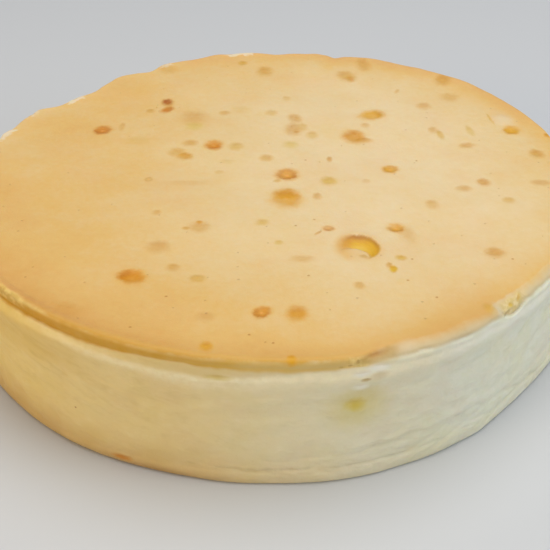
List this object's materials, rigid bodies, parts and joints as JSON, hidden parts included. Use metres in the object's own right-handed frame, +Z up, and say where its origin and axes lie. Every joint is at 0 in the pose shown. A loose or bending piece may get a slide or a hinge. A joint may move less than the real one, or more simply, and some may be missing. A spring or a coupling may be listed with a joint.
{
  "type": "new york cheesecake",
  "caption": "Whole round baked cheesecake with a browned top, a narrow groove under its edge, a soft lip, an upright pale wall and a slightly rounded foot.",
  "frame": {"origin": "centre of the footprint's box, on the table plane", "axes": "+Z up through the browned top, -Y to the front, +X to the right seen from the front"},
  "size_m": [0.2278, 0.2298, 0.05],
  "materials": {
    "baked_cheese": "soft, slightly moist baked cream cheese, golden on top and pale on the wall"
  },
  "bodies": {
    "root": {"cheesecake": "baked_cheese"}
  },
  "joints": []
}
